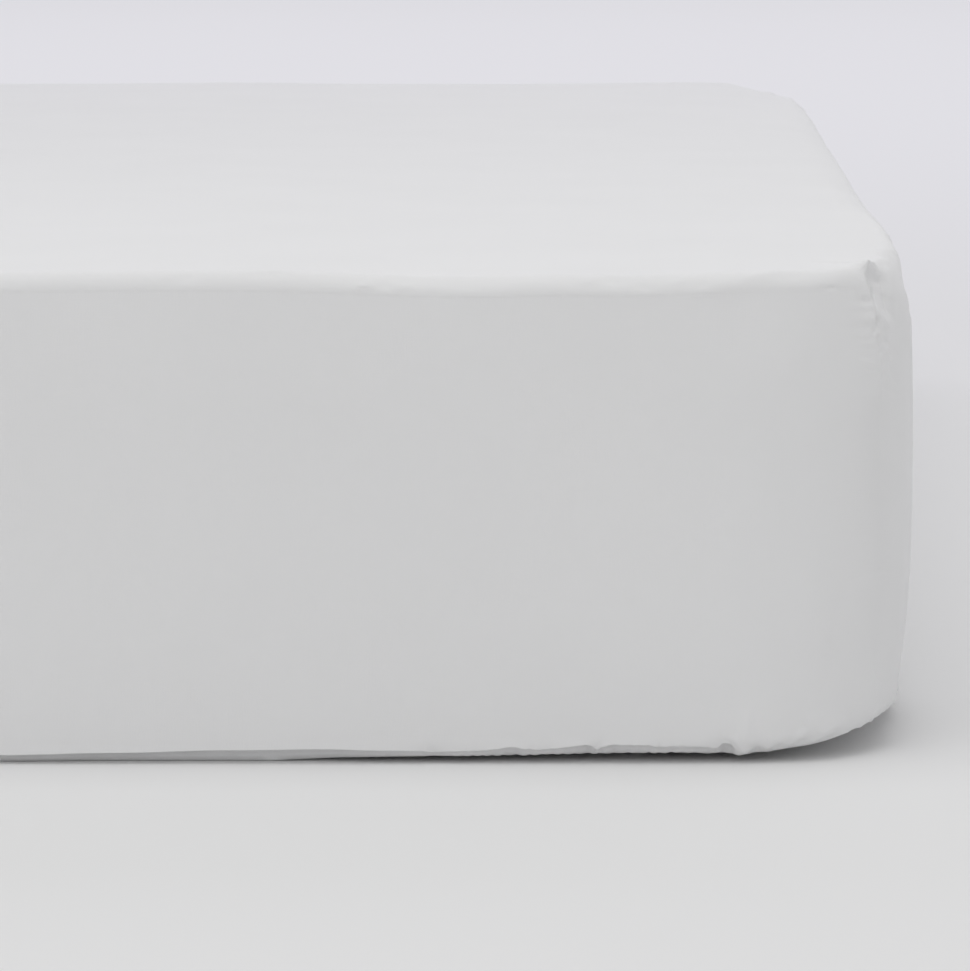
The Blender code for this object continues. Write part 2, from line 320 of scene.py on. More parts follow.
# Creases: soft ridges, or troughs where the rise is negative, from one point to another. "along"
# is the distance from the corner's seam, negative on the end's side, and "height" is unrolled.
Crease = namedtuple("Crease", "along height to_along to_height width rise")
CREASE_REACH = 3
CREASE_TAPER = (0.35, 1.0)
TOP_EDGE_CREASES = table(
    Crease,
    (-0.466, 0.2745, -0.455, 0.272, 0.003, -0.0007),
    (-0.394, 0.2715, -0.382, 0.2735, 0.0028, -0.0007),
    (-0.354, 0.279, -0.334, 0.28, 0.0026, 0.0006),
    (-0.352, 0.2755, -0.338, 0.2755, 0.0024, -0.0005),
    (-0.294, 0.2695, -0.283, 0.2725, 0.0024, 0.0007),
    (-0.281, 0.2725, -0.274, 0.27, 0.0022, -0.0007),
    (-0.273, 0.2705, -0.262, 0.2725, 0.0024, 0.0006),
    (-0.254, 0.267, -0.246, 0.268, 0.0022, -0.0005),
    (-0.222, 0.2745, -0.18, 0.2735, 0.0032, 0.0004),
    (-0.17, 0.274, -0.158, 0.277, 0.0026, 0.0007),
    (-0.158, 0.2765, -0.148, 0.274, 0.0024, -0.0006),
    (-0.138, 0.272, -0.13, 0.27, 0.0024, -0.0007),
    (-0.118, 0.2735, -0.108, 0.2755, 0.0024, 0.0007),
    (-0.106, 0.27, -0.099, 0.271, 0.002, -0.0006),
    (-0.106, 0.266, -0.044, 0.281, 0.0065, 0.0009),
    (-0.079, 0.2725, -0.058, 0.279, 0.0024, 0.0007),
    (-0.058, 0.274, -0.044, 0.2755, 0.0024, -0.0006),
    (-0.0355, 0.266, -0.0265, 0.2662, 0.001, -0.0006),
    (-0.037, 0.269, -0.03, 0.2692, 0.0012, 0.0004),
)
SEAM_CREASES = table(
    Crease,
    (-0.011, 0.261, -0.002, 0.2545, 0.0028, -0.001),
    (0.005, 0.259, 0.017, 0.252, 0.005, -0.0016),
    (0.006, 0.2715, 0.016, 0.2695, 0.0042, -0.001),
    (0.0002, 0.2645, 0.0002, 0.256, 0.0011, -0.0012),
    (0.0012, 0.2545, 0.0012, 0.2485, 0.0012, 0.0007),
    (0.0012, 0.2475, 0.0022, 0.247, 0.0016, -0.001),
    (0.003, 0.249, 0.014, 0.243, 0.003, 0.0008),
    (-0.0035, 0.24, -0.0005, 0.2445, 0.0013, -0.0009),
    (-0.001, 0.24, 0.0004, 0.2395, 0.0012, 0.0008),
    (0.0008, 0.234, 0.0014, 0.232, 0.0013, -0.0009),
    (0.0012, 0.2305, 0.002, 0.2285, 0.0013, -0.0008),
    (0.004, 0.236, 0.011, 0.233, 0.0022, -0.0007),
    (0.004, 0.2285, 0.01, 0.231, 0.002, 0.0006),
    (-0.013, 0.226, -0.003, 0.2235, 0.0013, 0.0005),
    (-0.012, 0.2225, -0.003, 0.221, 0.0013, 0.0004),
    (-0.011, 0.219, -0.003, 0.218, 0.0012, 0.0004),
    (0.01, 0.2245, 0.019, 0.222, 0.0014, 0.0006),
    (0.001, 0.179, 0.02, 0.177, 0.0016, 0.0006),
    (0.001, 0.181, 0.005, 0.183, 0.0014, -0.0006),
    (0.0015, 0.1545, 0.01, 0.153, 0.001, 0.001),
    (-0.007, 0.14, -0.006, 0.13, 0.0024, -0.0005),
    (0.001, 0.109, 0.0045, 0.106, 0.0015, 0.0009),
    (-0.0035, 0.105, 0.0005, 0.1075, 0.0013, -0.0008),
    (0.012, 0.112, 0.02, 0.104, 0.004, -0.0006),
    (-0.018, 0.043, -0.002, 0.05, 0.008, -0.0014),
    (-0.014, 0.038, -0.006, 0.033, 0.004, -0.0008),
)
LOWER_EDGE_CREASES = table(
    Crease,
    (-0.0885, 0.0105, -0.0815, 0.007, 0.003, -0.0016),
    (-0.081, 0.004, -0.0735, 0.013, 0.0022, 0.0016),
    (-0.074, 0.006, -0.069, 0.008, 0.0024, -0.0018),
    (-0.068, 0.0075, -0.056, 0.015, 0.0022, 0.0015),
    (-0.064, 0.0065, -0.056, 0.011, 0.0024, -0.0013),
    (-0.053, 0.01, -0.042, 0.0175, 0.0021, 0.0014),
    (-0.048, 0.008, -0.04, 0.013, 0.0022, -0.0012),
    (-0.037, 0.011, -0.027, 0.019, 0.0018, 0.0015),
    (-0.033, 0.009, -0.025, 0.014, 0.002, -0.0011),
    (-0.02, 0.012, -0.012, 0.019, 0.002, 0.001),
    (-0.006, 0.015, 0.002, 0.024, 0.0022, 0.0009),
    (0.012, 0.017, 0.018, 0.027, 0.0024, 0.001),
)


MIRRORED = -1


def moved(creases, shift, scale, side=1):
    """Creases for another place: shifted along, made shallower and, if asked, mirrored."""
    return tuple(
        crease._replace(
            along=side * (crease.along + shift),
            to_along=side * (crease.to_along + shift),
            rise=crease.rise * scale,
        )
        for crease in creases
    )


SHOWN_CREASES = TOP_EDGE_CREASES + SEAM_CREASES + LOWER_EDGE_CREASES
CORNER_CREASES = (
    SHOWN_CREASES + moved(TOP_EDGE_CREASES + LOWER_EDGE_CREASES, 0.024, 0.8, MIRRORED),
    moved(SHOWN_CREASES, 0.0, 0.85, MIRRORED) + moved(LOWER_EDGE_CREASES, 0.03, 0.8),
    SHOWN_CREASES + moved(LOWER_EDGE_CREASES, 0.018, 0.9, MIRRORED),
    moved(SHOWN_CREASES, 0.0, 0.9, MIRRORED) + moved(TOP_EDGE_CREASES, 0.02, 0.7),
)

# ------------ the cloth's shape

Place = namedtuple("Place", "number along")
ROUNDING = 1e-6


def blend(pair, weight):
    """Between the two values of a pair: the first at weight 0, the second at weight 1."""
    return pair[0] + (pair[1] - pair[0]) * weight


def hump(distance, reach):
    """1 at no distance, falling smoothly to 0 at the reach."""
    return 0.5 + 0.5 * math.cos(math.pi * min(1.0, abs(distance) / reach))


def smooth_step(value, start, end):
    """0 before the start, 1 after the end and smooth between them."""
    share = min(1.0, max(0.0, (value - start) / (end - start)))
    return share * share * (3 - 2 * share)


def part_done(share, stretch):
    """How much of a stretch, given as its start and its run, is passed at a share of a turn."""
    start, run = stretch
    return min(1.0, max(0.0, (share - start) / run))


def field_noise(field, position, number, deeper=0.0):
    """Smooth noise, mostly between -1 and 1, which is another one by each corner."""
    layer = field.layer + deeper
    return noise.noise(Vector((position * field.rate, number * field.corner_step, layer)))


def between(value, starts, ends):
    """Rises from 0 to 1 over the first pair of values and falls back over the second."""
    return smooth_step(value, *starts) * (1 - smooth_step(value, *ends))


def profile(shares, above):
    """A smooth curve through the rows of a table of shares."""
    if above <= shares[0].above:
        return shares[0].share
    for low, high in zip(shares, shares[1:]):
        if above < high.above:
            step = smooth_step(above, low.above, high.above)
            return low.share + (high.share - low.share) * step
    return shares[-1].share


def place_of(s):
    """The nearest corner to a place on the outline, and the signed distance along from it."""
    best = None
    for number, corner in enumerate(CORNERS):
        ahead = (s - corner.place + PERIMETER / 2) % PERIMETER - PERIMETER / 2
        along = ahead if number % 2 == 0 else -ahead
        half_run = (LONG_RUN if along > 0 else SHORT_RUN) / 2
        if abs(along) <= half_run + ROUNDING and (best is None or abs(along) < abs(best.along)):
            best = Place(number, along)
    return best


def outline_point(corner, along, inset, radius):
    """The plan position and outward direction on a rounded rectangle inset from the widest one."""
    across = WIDTH / 2 - inset - radius
    lengthways = LENGTH / 2 - inset - radius
    if abs(along) <= ARC_HALF:
        angle = math.pi / 4 * (1 + along / ARC_HALF)
        outward = Vector((corner.sign_x * math.sin(angle), corner.sign_y * math.cos(angle), 0))
        centre = Vector((corner.sign_x * across, corner.sign_y * lengthways, 0))
        return centre + outward * radius, outward
    past = abs(along) - ARC_HALF
    if along < 0:
        x = corner.sign_x * across * (1 - past / SHORT_STRAIGHT)
        return Vector((x, corner.sign_y * (lengthways + radius), 0)), Vector((0, corner.sign_y, 0))
    y = corner.sign_y * lengthways * (1 - past / LONG_STRAIGHT)
    return Vector((corner.sign_x * (across + radius), y, 0)), Vector((corner.sign_x, 0, 0))


def side_share(along):
    """0 along an end and by the corner, rising to 1 along a long side."""
    return smooth_step(along, *BROW_TURN)


def crown_height(inset):
    """The top is highest along the middle and falls a little towards its edges."""
    from_middle = (WIDTH / 2 - inset) / (WIDTH / 2)
    return HEIGHT - CROWN_DROP * from_middle**3


def wall_inset(height, along):
    """The wall leans in a little above its widest band, and is drawn in below it."""
    if height > WALL_TOP:
        return BROW_LEAN * ((height - WALL_TOP) / (HEIGHT - BROW_FOOT - WALL_TOP)) ** 2
    pull = blend(FOOT_PULL, hump(along, CORNER_REACH))
    if along > 0:
        pull += FLANK_PULL * hump(along - FLANK_AT, FLANK_AT)
    below = max(0.0, (WALL_FOOT - height) / WALL_FOOT)
    return pull * below**FOOT_PULL_POWER


def lower_edge_lift(along):
    """How far the fold of the lower edge stands off the ground."""
    beside_corner = CORNER_LIFT * hump(along - CORNER_LIFT_AT, CORNER_LIFT_REACH)
    by_the_seam = HITCH_LIFT * hump(along - HITCH_AT, HITCH_REACH)
    tucked = TUCK_LIFT * smooth_step(abs(along), *TUCK_LIFT_STARTS)
    tucked *= 1 - smooth_step(abs(along), *TUCK_LIFT_ENDS)
    slope = EDGE_LIFT * max(0.0, 1 - abs(along) / EDGE_LIFT_REACH)
    return beside_corner + by_the_seam + tucked + slope


LEVEL_NAMES = "brow_wide brow_deep brow_foot brow_top foot_radius foot_top foot_end lift"
Levels = namedtuple("Levels", LEVEL_NAMES)


def levels(along):
    """The unrolled heights at which the brow and the foot start and end."""
    weight = hump(along, CORNER_REACH)
    swell = hump(along - BROW_SWELL_AT, BROW_SWELL_REACH)
    brow_wide = blend(BROW_WIDE, side_share(along)) + BROW_SWELL[0] * swell
    brow_deep = blend(BROW_DEEP, side_share(along)) + BROW_SWELL[1] * swell
    brow_foot = crown_height(BROW_LEAN + brow_wide) - brow_deep
    brow_run = RIGHT_ANGLE * math.hypot(brow_wide, brow_deep) / math.sqrt(2)
    foot_radius = blend(FOOT_RADIUS, weight)
    lift = lower_edge_lift(along)
    foot_top = lift + foot_radius
    return Levels(
        brow_wide,
        brow_deep,
        brow_foot,
        brow_foot + brow_run,
        foot_radius,
        foot_top,
        foot_top - foot_radius * RIGHT_ANGLE,
        lift,
    )


def tuck_at(number, along):
    """The height of the lower edge's fold, and how far it is tucked, at a place."""
    distance = abs(along) + TUCK_SHIFTS[number][0 if along < 0 else 1]
    if distance <= TUCKS[0].distance:
        return TUCKS[0]
    for near, far in zip(TUCKS, TUCKS[1:]):
        if distance < far.distance:
            share = smooth_step(distance, near.distance, far.distance)
            height = near.height + (far.height - near.height) * share
            return Tuck(distance, height, near.strength + (far.strength - near.strength) * share)
    return TUCKS[-1]


def foot_curve(level, turn, tuck):
    """Inset and height on the lower edge: round where it is free and a sharp fold where tucked."""
    radius = level.foot_radius
    share = turn / RIGHT_ANGLE
    round_inset = radius * (1 - math.cos(turn))
    round_height = radius * (1 - math.sin(turn))
    fold = max(LEAST_FOLD, tuck.height - level.lift)
    depth = min(radius, TUCK_DEPTH_SHARE * fold)
    inwards = part_done(share, FOLD_INWARDS)
    down = part_done(share, FOLD_DOWN)
    tucked_inset = depth * (FOLD_DEPTH_SHARES[0] * inwards + FOLD_DEPTH_SHARES[1] * down)
    tucked_inset += (radius - depth) * part_done(share, FOLD_BOTTOM)
    tucked_height = radius - (radius - fold) * min(1.0, share / FOLD_INWARDS[0])
    tucked_height -= fold * (FOLD_HEIGHT_SHARES[0] * inwards + FOLD_HEIGHT_SHARES[1] * down)
    inset = round_inset + (tucked_inset - round_inset) * tuck.strength
    return inset, level.lift + round_height + (tucked_height - round_height) * tuck.strength


def section(height, number, along):
    """Inset, height, outward tilt and plan radius of the smooth cloth at an unrolled height."""
    level = levels(along)
    if height >= level.brow_top:
        inset = BROW_LEAN + level.brow_wide + height - level.brow_top
        most = RING_ROUND_MOST * (WIDTH / 2 - inset)
        radius = min(most, max(PLAN_RADIUS - inset, RING_ROUNDING * inset))
        return inset, crown_height(inset), RIGHT_ANGLE, radius
    if height >= level.brow_foot:
        turn = RIGHT_ANGLE * (height - level.brow_foot) / (level.brow_top - level.brow_foot)
        inset = BROW_LEAN + level.brow_wide * (1 - math.cos(turn))
        lifted = level.brow_foot + level.brow_deep * math.sin(turn)
        tilt = math.atan2(level.brow_wide * math.sin(turn), level.brow_deep * math.cos(turn))
        return inset, lifted, tilt, PLAN_RADIUS - inset
    if height >= level.foot_top:
        inset = wall_inset(height, along)
        return inset, height, 0.0, PLAN_RADIUS - inset
    wall = wall_inset(level.foot_top, along)
    if height >= level.foot_end:
        turn = (level.foot_top - height) / level.foot_radius
        inset, lifted = foot_curve(level, turn, tuck_at(number, along))
        return wall + inset, lifted, -turn, PLAN_RADIUS - wall - inset
    distance = level.foot_end - height
    share = min(1.0, distance / RETURN_DEPTH)
    start = wall + level.foot_radius
    lifted = level.lift * (1 - share) + HEM_LOFT * share * hump(along, GATHER_REACH)
    radius = blend((PLAN_RADIUS - start, HEM_RADIUS), share)
    return start + distance, lifted, -RIGHT_ANGLE, radius


def side_dip(side, position):
    """How far one side's top edge sinks at a position along it."""
    return sum(
        dip.drop * hump(position - dip.centre, dip.half_length)
        for dip in EDGE_DIPS
        if dip.side == side
    )


def edge_dip(corner, along, point, above):
    """How far the top edge sinks at a point; both sides of a corner meet halfway at its seam."""
    end = "front" if corner.sign_y < 0 else "back"
    flank = "right" if corner.sign_x > 0 else "left"
    end_at_seam = side_dip(end, corner.sign_x * (WIDTH / 2 - SEAM_INSET))
    flank_at_seam = side_dip(flank, corner.sign_y * (LENGTH / 2 - SEAM_INSET))
    if along < 0:
        sink = side_dip(end, point.x)
        half_step = (flank_at_seam - end_at_seam) / 2
    else:
        sink = side_dip(flank, point.y)
        half_step = (end_at_seam - flank_at_seam) / 2
    sink += half_step * hump(along, DIP_MEETING)
    return sink * profile(DIP_PROFILE, above / blend(DIP_STRETCH, side_share(along)))


def seam_ridge(height):
    """How far the corner stands out along its seam: most in its upper half, below the ear."""
    ridge = SEAM_RIDGE * smooth_step(height, *SEAM_RIDGE_STARTS)
    return ridge * (1 - smooth_step(height, *SEAM_RIDGE_ENDS))


def smooth_point(place, height, depth=0.0):
    """A point of the smooth made-up shape, sunk below it along its outward direction."""
    corner = CORNERS[place.number]
    drift_share = min(1.0, max(0.0, 1 - height / HEIGHT)) ** SEAM_WARP_POWER
    drift = blend((corner.seam_top, corner.seam_foot), drift_share) - seam_ridge(height)
    along = place.along + drift * hump(place.along, SEAM_WARP_REACH)
    inset, lifted, tilt, radius = section(height, place.number, along)
    plan, outward = outline_point(corner, along, inset, radius)
    direction = outward * math.cos(tilt) + Vector((0, 0, math.sin(tilt)))
    point = Vector((plan.x, plan.y, lifted)) - direction * depth
    above = height - levels(along).brow_top
    point.z -= edge_dip(corner, along, point, above)
    return point, outward, direction, above


def gather(place):
    """0 in the hollows of the gathered edge and up to 1 on its ridges, uneven along the edge."""
    offset = abs(place.along)
    phase = GATHER_PHASES[0] * place.number + (GATHER_PHASES[1] if place.along < 0 else 0.0)
    wave = 0.5 + 0.5 * math.cos(2 * math.pi * offset / GATHER_PITCH + phase)
    uneven = GATHER_SIZE[0] + GATHER_SIZE[1] * math.sin(offset * GATHER_UNEVEN_RATE + 2 * phase)
    calm = 1 - CORNER_CALM * hump(offset, ARC_HALF)
    return wave * uneven * calm * hump(offset, GATHER_REACH)


def scallop(place):
    """The small bulges of the edge that the elastic draws in, with notches between them."""
    offset = abs(place.along)
    inside = between(offset, SCALLOP_STARTS, SCALLOP_ENDS)
    wander = SCALLOP_WANDER_BY * field_noise(SCALLOP_WANDER, offset, place.number)
    bulge = abs(math.sin(math.pi * (offset + wander) / SCALLOP_PITCH))
    size = SCALLOP_SIZE[0] + SCALLOP_SIZE[1] * field_noise(SCALLOP_UNEVEN, offset, place.number)
    return inside * bulge * max(LEAST_SCALLOP, size)


def ripple(place, distance):
    """Ripples of the return near a corner: soft by the fold and sharper at the hem."""
    offset = abs(place.along)
    inside = 1 - smooth_step(offset, *RIPPLE_ENDS)
    twist = distance * RIPPLE_TWIST
    wander = RIPPLE_WANDER_BY * field_noise(RIPPLE_WANDER, offset, place.number, twist)
    wave = math.sin(2 * math.pi * (offset + wander) / RIPPLE_PITCH)
    share = smooth_step(distance, 0.0, RETURN_DEPTH)
    return RIPPLE_DEPTH * inside * wave * blend(RIPPLE_SHARES, share)


def hem_band(distance):
    """The turned hem stands a little proud of the return."""
    band = smooth_step(distance, RETURN_DEPTH - HEM_WIDTH - HEM_EDGE, RETURN_DEPTH - HEM_WIDTH)
    return HEM_STEP * band


def seam_relief(place, height):
    """The corner seam's groove, the allowance behind it and the puckers on both sides."""
    along = place.along * seam_side(CORNERS[place.number])
    if abs(along) > SEAM_RELIEF_REACH:
        return 0.0
    strength = between(height, SEAM_RELIEF_STARTS, SEAM_RELIEF_ENDS)
    by_the_ear = smooth_step(height, *BY_THE_EAR)
    groove = -blend(SEAM_GROOVE, by_the_ear) * math.exp(-((along / SEAM_GROOVE_HALF) ** 2))
    band = between(along, ALLOWANCE_STARTS, ALLOWANCE_ENDS)
    side = OTHER_SIDE_LAYER if along < 0 else 0.0
    wander = PUCKER_WANDER_BY * field_noise(PUCKER_WANDER, height, place.number, side)
    wave = math.sin(2 * math.pi * height / PUCKER_PITCH + wander + side)
    loose = field_noise(PUCKER_LOOSE, height, place.number, side)
    size = max(LEAST_PUCKER, PUCKER_SIZE[0] + PUCKER_SIZE[1] * loose)
    beside = abs(along) / PUCKER_REACH * math.exp(1 - abs(along) / PUCKER_REACH)
    pucker = blend(PUCKER_DEPTH, by_the_ear) * wave * size * beside
    return strength * (groove + ALLOWANCE_RISE * band + pucker)


def crease_relief(place, height):
    """What the creases that reach this point add to it."""
    rise = 0.0
    for crease in CORNER_CREASES[place.number]:
        reach = CREASE_REACH * crease.width
        if place.along < min(crease.along, crease.to_along) - reach:
            continue
        if place.along > max(crease.along, crease.to_along) + reach:
            continue
        run = crease.to_along - crease.along
        climb = crease.to_height - crease.height
        near = place.along - crease.along
        share = near * run + (height - crease.height) * climb
        share = min(1.0, max(0.0, share / (run * run + climb * climb)))
        distance_along = near - share * run
        distance_up = height - crease.height - share * climb
        square = (distance_along**2 + distance_up**2) / crease.width**2
        if square < CREASE_REACH**2:
            taper = blend(CREASE_TAPER, math.sin(math.pi * share))
            rise += crease.rise * taper * math.exp(-square)
    return rise


def soft_waves(point):
    """Slow unevenness of cloth over a soft form."""
    return sum(rise * noise.noise(point * rate) for rate, rise in SOFT_WAVES)


def seam_side(corner):
    """1 where a seam's allowance and the long side of its ear lie past the corner, -1 before it."""
    return -corner.sign_x * corner.sign_y


def ear_rise(corner, along):
    """How far the pointed top of the seam stands up, at a distance from the seam."""
    past = along * seam_side(corner) - EAR_AT
    share = min(1.0, abs(past) / (EAR_LONG_SIDE if past > 0 else EAR_STEEP_SIDE))
    fullness = 1 + EAR_FULLNESS * share if past > 0 else 1.0
    point = EAR_POINT * max(0.0, 1 - abs(past) / EAR_POINT_HALF)
    return EAR_HEIGHT_SHARE * corner.ear * ((1 - share) * fullness + point)


def ear_hollow(corner, along, above):
    """How far the cloth is sunk under the ear's lip, sharply on the ear's steep side."""
    past = along * seam_side(corner) - EAR_AT - profile(HOLLOW_SHIFT, above)
    inside = between(past, HOLLOW_SIDES[:2], HOLLOW_SIDES[2:])
    return HOLLOW_DEPTH * inside * profile(HOLLOW_PROFILE, above) * corner.ear / CORNERS[0].ear


def cloth_point(place, height):
    """A point of the cloth's outer face, with all its folds."""
    corner = CORNERS[place.number]
    point, outward, direction, above = smooth_point(place, height)
    level = levels(place.along)
    if height < level.foot_end:
        distance = level.foot_end - height
        fade = smooth_step(distance, 0.0, UNDER_FADE)
        point.z -= UNDER_GATHER_SHARE * min(point.z, GATHER_DEPTH * gather(place))
        point.z += ripple(place, distance) - SCALLOP_DEPTH * scallop(place) * (1 - fade)
        point.z -= hem_band(distance)
        point.z = max(point.z, FLOOR_GAP)
        return point
    fade_from = level.foot_top - FOOT_FADES[0]
    foot_share = 1 - smooth_step(height, fade_from, level.foot_top + FOOT_FADES[1])
    foot_share *= blend((1.0, UNDER_SHARE), smooth_step(level.foot_top - height, 0.0, FOLD_RUN))
    scallop_share = 1 - smooth_step(height, level.foot_end + SCALLOP_END_GAP, level.foot_top)
    relief = GATHER_DEPTH * gather(place) * foot_share
    relief += SCALLOP_DEPTH * scallop(place) * scallop_share
    if place.along < 0:
        pleat = corner.pleat_depth * hump(-place.along - corner.pleat_at, PLEAT_HALF)
        relief += pleat * foot_share
    relief += seam_relief(place, height) + crease_relief(place, height)
    relief += seam_ridge(height) * max(0.0, 1 - abs(place.along) / SEAM_RIDGE_REACH) ** 2
    calm = between(height, SOFT_WAVES_START, SOFT_WAVES_END)
    relief += calm * soft_waves(point)
    point += direction * relief
    hollow_above = above * EAR_BROW_RUN / (level.brow_top - level.brow_foot)
    point -= direction * ear_hollow(corner, place.along, hollow_above)
    ear_way = Vector((0, 0, 1)) + outward * EAR_LEAN
    point += ear_way * (ear_rise(corner, place.along) * profile(EAR_PROFILE, above))
    point.z = max(point.z, FLOOR_GAP)
    return point


# ------------ the flat grid and its mesh

HEM = -0.0865
CROWN_END = 0.62
INNER_END = 2 * HEM - CROWN_END
OUTER_ROWS = (
    0.62, 0.54, 0.47, 0.41, 0.36, 0.325, 0.302, 0.287, 0.275, 0.262, 0.24, 0.20, 0.16, 0.12,
    0.08, 0.05, 0.032, 0.018, 0.0105, 0.0070, 0.0045, 0.0032, 0.0024, 0.0016, -0.0003, -0.0016,
    -0.0029, -0.0060, -0.03, -0.055, -0.0725, HEM,
)
INNER_DISTANCES = (
    0.004, 0.02, 0.05, 0.078, 0.088, 0.098, 0.108, 0.12, 0.18,
    0.28, 0.345, 0.353, 0.361, 0.369, 0.378, 0.42, 0.55,
)
INNER_ROWS = tuple(HEM - distance for distance in INNER_DISTANCES) + (INNER_END,)
COLUMN_STEP = 0.03

# Wanted spacing of the grid along and up, inside a box of the flat cloth. The distance is from the
# nearest corner's seam, on the end's side and on the long side alike, and the finest one counts.
Spacing = namedtuple("Spacing", "nearest furthest low high step_along step_up")
SPACINGS = table(
    Spacing,
    (0.0, 9.0, 0.3, 0.7, 0.06, 0.06),
    (0.0, 9.0, 0.262, 0.302, 0.011, 0.003),
    (0.0, 9.0, 0.225, 0.262, 0.025, 0.007),
    (0.0, 9.0, 0.045, 0.225, 0.025, 0.016),
    (0.0, 0.3, 0.018, 0.045, 0.007, 0.005),
    (0.3, 9.0, 0.018, 0.045, 0.015, 0.006),
    (0.0, 9.0, -0.01, 0.018, 0.008, 0.0022),
    (0.0, 9.0, HEM, -0.01, 0.015, 0.015),
    (0.0, 0.31, HEM, -0.01, 0.0036, 0.009),
    (0.0, 9.0, HEM, HEM + 0.016, 0.008, 0.004),
    (0.0, 0.08, -0.006, 0.028, 0.0022, 0.0022),
    (0.068, 0.27, -0.006, 0.016, 0.0016, 0.0022),
    (0.0, 0.08, 0.225, 0.31, 0.005, 0.004),
    (0.0, 0.47, 0.262, 0.285, 0.004, 0.0022),
    (0.0, 0.022, 0.215, 0.3, 0.002, 0.002),
    (0.0, 0.011, 0.025, 0.285, 0.0016, 0.0026),
    (0.0, 0.0032, 0.025, 0.275, 0.0008, 0.0024),
    (0.0, 0.016, 0.218, 0.26, 0.0013, 0.0013),
    (0.0, 0.03, 0.26, 0.29, 0.0011, 0.001),
)
COARSEST_STEP = 0.06
SLACK = 1.35
MOST_ROUNDS = 8
MERGE_DISTANCE = 1e-5
PLACE_DIGITS = 7

# Unrolled heights between which the grid's rows follow the lifted edge
FOLLOW_STARTS = (-0.06, -0.02)
FOLLOW_ENDS = (0.03, 0.08)
CLOTH_MAP = "cloth"


def wanted_steps(offset, height):
    """The finest spacing wanted at a distance from a corner's seam and an unrolled height."""
    step_along = COARSEST_STEP
    step_up = COARSEST_STEP
    for spacing in SPACINGS:
        near_enough = spacing.nearest <= offset <= spacing.furthest
        if near_enough and spacing.low <= height <= spacing.high:
            step_along = min(step_along, spacing.step_along)
            step_up = min(step_up, spacing.step_up)
    return step_along, step_up


def too_long(edge):
    """Whether an edge of the flat grid is longer than the spacing wanted at its middle."""
    first, second = (vertex.co for vertex in edge.verts)
    middle = (first + second) / 2
    if middle.y < HEM:
        return False
    step_along, step_up = wanted_steps(abs(place_of(middle.x).along), middle.y)
    span_along = abs(first.x - second.x) / step_along
    span_up = abs(first.y - second.y) / step_up
    return max(span_along, span_up) > SLACK


def grid_columns():
    """Places of the flat grid's columns, with one on each corner's seam."""
    start = CORNERS[1].place + SHORT_RUN / 2 - PERIMETER
    end = start + PERIMETER
    stops = set()
    for stop in [start] + [corner.place for corner in CORNERS]:
        stops.add(round(stop if stop <= end else stop - PERIMETER, PLACE_DIGITS))
    stops = sorted(stops) + [end]
    places = [stops[0]]
    for low, high in zip(stops, stops[1:]):
        steps = max(1, round((high - low) / COLUMN_STEP))
        places += [low + (high - low) * step / steps for step in range(1, steps + 1)]
    return places


def follow_edge(s, height):
    """A row's height at a place: rows near the lower edge run parallel to its lifted fold."""
    near_edge = between(height, FOLLOW_STARTS, FOLLOW_ENDS)
    return height + lower_edge_lift(place_of(s).along) * near_edge


def flat_grid(rows):
    """A flat mesh with a column for each place and a row for each unrolled height."""
    flat = bmesh.new()
    lattice = []
    for height in rows:
        lattice.append([flat.verts.new((s, follow_edge(s, height), 0)) for s in grid_columns()])
    for upper, lower in zip(lattice, lattice[1:]):
        for column in range(len(upper) - 1):
            flat.faces.new((upper[column], lower[column], lower[column + 1], upper[column + 1]))
    return flat


def refine(flat):
    """Halves the edges that are too long for the folds there, until none is."""
    for _ in range(MOST_ROUNDS):
        long_edges = [edge for edge in flat.edges if too_long(edge)]
        if not long_edges:
            break
        bmesh.ops.subdivide_edges(flat, edges=long_edges, cuts=1, use_grid_fill=True)
    many_sided = [face for face in flat.faces if len(face.verts) > 4]
    bmesh.ops.triangulate(flat, faces=many_sided)


def inner_point(place, height):
    """A point of the cloth's hidden face, which deepens away from the hem."""
    mirrored = 2 * HEM - height
    depth = blend((HEM_THICKNESS, INNER_DEPTH), smooth_step(HEM - height, 0.0, INNER_DEEPENS))
    return smooth_point(place, mirrored, depth)[0]


def flat_cloth_position(place, height, point, zone):
    """Where a point of the cloth lay before it was sewn: the top panel and the four skirts."""
    if zone == "top":
        return point.x, point.y
    corner = CORNERS[place.number]
    level = levels(place.along)
    edge = BROW_LEAN + level.brow_wide
    down = level.brow_top - height
    past = ARC_HALF - abs(place.along)
    if zone == "end":
        across = WIDTH / 2 - PLAN_RADIUS + past
        lengthways = LENGTH / 2 - edge + down
    else:
        across = WIDTH / 2 - edge + down
        lengthways = LENGTH / 2 - PLAN_RADIUS + past
    return corner.sign_x * across, corner.sign_y * lengthways


def zone_of(face):
    """The panel of the cloth that a face of the flat grid belongs to."""
    middle = face.calc_center_median()
    place = place_of(middle.x)
    if middle.y > levels(place.along).brow_top:
        return "top"
    return "end" if place.along < 0 else "side"


def raise_mesh(flat, point_of):
    """Gives the flat grid its cloth coordinates, and moves it to its place in the round."""
    cloth_map = flat.loops.layers.uv.new(CLOTH_MAP)
    flat.verts.index_update()
    places = {}
    points = {}
    for vertex in flat.verts:
        place = place_of(vertex.co.x)
        places[vertex.index] = place
        points[vertex.index] = point_of(place, vertex.co.y)
    for face in flat.faces:
        zone = zone_of(face)
        for loop in face.loops:
            index = loop.vert.index
            mapped = flat_cloth_position(places[index], loop.vert.co.y, points[index], zone)
            loop[cloth_map].uv = mapped
    for vertex in flat.verts:
        vertex.co = points[vertex.index]


def close_ends(flat):
    """Joins the grid's two side edges, fills its first and last rows, and turns its faces out."""
    bmesh.ops.remove_doubles(flat, verts=flat.verts, dist=MERGE_DISTANCE)
    open_edges = [edge for edge in flat.edges if edge.is_boundary]
    bmesh.ops.holes_fill(flat, edges=open_edges, sides=0)
    bmesh.ops.recalc_face_normals(flat, faces=flat.faces)


